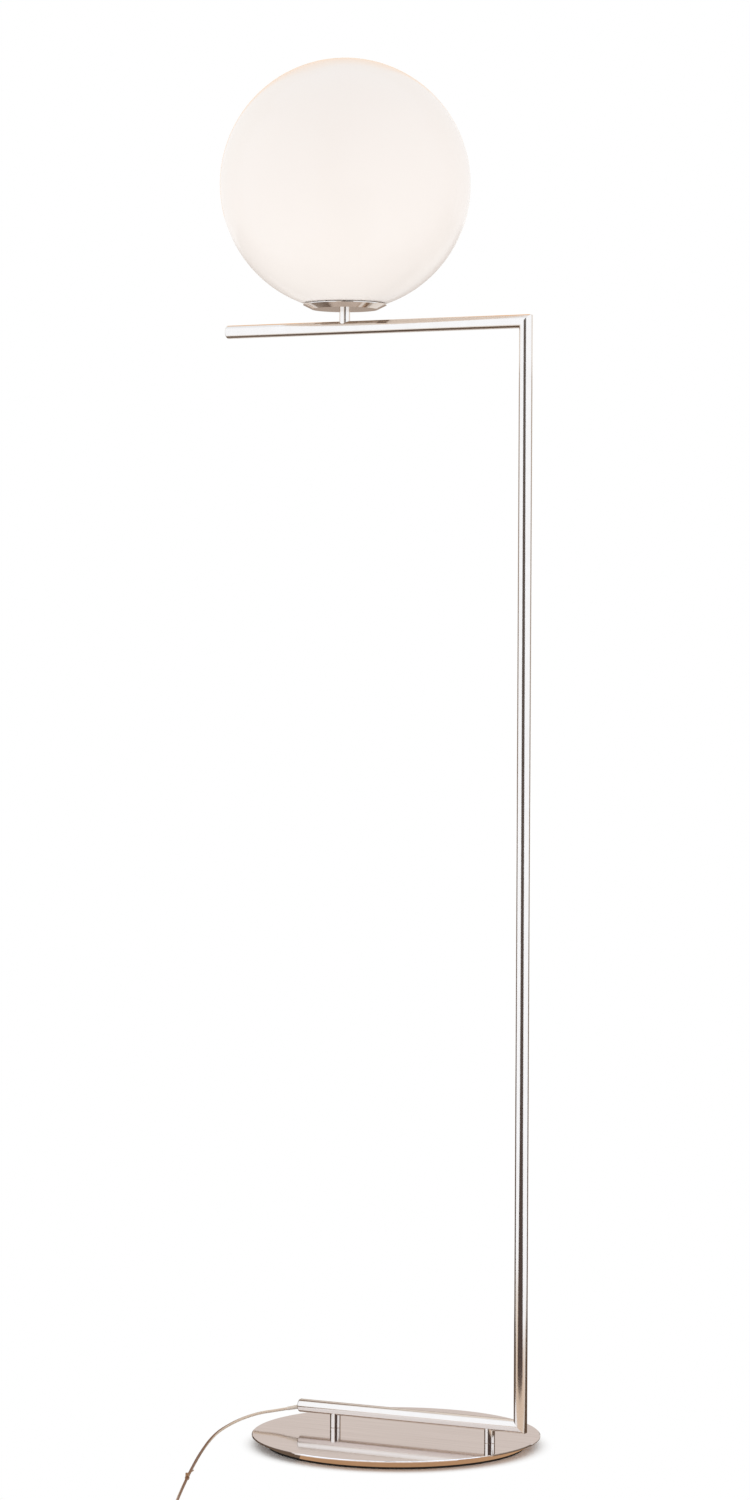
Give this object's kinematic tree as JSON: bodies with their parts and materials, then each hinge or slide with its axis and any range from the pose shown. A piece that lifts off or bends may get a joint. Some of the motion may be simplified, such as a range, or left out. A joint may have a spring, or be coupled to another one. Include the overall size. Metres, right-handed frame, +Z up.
{
  "type": "floor lamp",
  "caption": "Floor lamp: a round steel base carries a square-cornered tube frame, and a glass ball stands on the frame's upper arm.",
  "frame": {"origin": "centre of the round base on the floor", "axes": "+Z up; the two arms run along X, with the post at +X, and the cord lies in front, at -Y"},
  "size_m": [0.5134, 0.6825, 1.6549],
  "materials": {
    "brushed_nickel": "fine brushed, satin",
    "polished_nickel": "polished with a light satin",
    "zinc_steel": "bright zinc",
    "spring_steel": "plain",
    "brass": "bright",
    "copper_wire": "insulated copper",
    "pad_rubber": "matte foam rubber",
    "silicone": "translucent silicone",
    "opal_glass": "glossy opal",
    "holder_plastic": "moulded",
    "bulb_plastic": "frosted",
    "cord_pvc": "clear PVC over copper",
    "relief_pvc": "clear PVC",
    "switch_plastic": "fine moulded grain",
    "tie_strap": "moulded"
  },
  "bodies": {
    "stand": {"base_pad": "pad_rubber", "base_plate": "brushed_nickel", "base_screws": "zinc_steel", "lower_arm": "polished_nickel", "post": "polished_nickel", "upper_arm": "polished_nickel", "lower_arm_cap": "polished_nickel", "upper_arm_cap": "polished_nickel", "standoff_post_side": "polished_nickel", "standoff_cord_side": "polished_nickel", "stem_anchor": "brass", "stem_nipple": "zinc_steel", "stem_sleeve": "polished_nickel", "holder_dish": "polished_nickel", "globe_spring": "spring_steel", "dish_washer": "zinc_steel", "dish_nut": "zinc_steel", "globe_gasket": "silicone", "holder_cap": "holder_plastic", "holder_shell": "holder_plastic", "holder_block": "holder_plastic", "holder_screw_shell": "brass", "holder_contact": "brass", "inner_lead": "cord_pvc", "lamp_wires": "copper_wire", "cord_relief": "relief_pvc", "cord_to_switch": "cord_pvc", "cord_marker": "tie_strap", "switch_base": "switch_plastic", "switch_cover": "switch_plastic", "switch_spring": "spring_steel", "switch_block": "holder_plastic", "switch_terminals": "brass", "switch_screws": "zinc_steel", "switch_feet": "pad_rubber", "switch_bushes": "relief_pvc", "cord_to_coil": "cord_pvc", "cord_coil": "cord_pvc", "coil_tie": "tie_strap", "cord_to_plug": "cord_pvc", "plug_bush": "relief_pvc", "plug_body": "switch_plastic", "plug_pins": "zinc_steel"},
    "globe": {"globe": "opal_glass"},
    "bulb": {"bulb_tip": "holder_plastic", "bulb_cap": "zinc_steel", "bulb_body": "holder_plastic", "bulb_dome": "bulb_plastic"},
    "foot_button": {"switch_button": "switch_plastic"}
  },
  "joints": [
    {"name": "globe_lift", "type": "slide", "parent": "stand", "child": "globe", "axis": [0, 0, 1], "range_m": [0, 0.14]},
    {"name": "bulb_turn", "type": "hinge", "parent": "stand", "child": "bulb", "pos_m": [-0.0755, 0, 1.42], "axis": [0, 0, 1], "continuous": true},
    {"name": "button_press", "type": "slide", "parent": "stand", "child": "foot_button", "axis": [0, 0, -1], "range_m": [0, 0.0025], "stiffness_N_per_m": 1000, "springref_m": -0.002, "deforming": ["switch_spring"]}
  ]
}
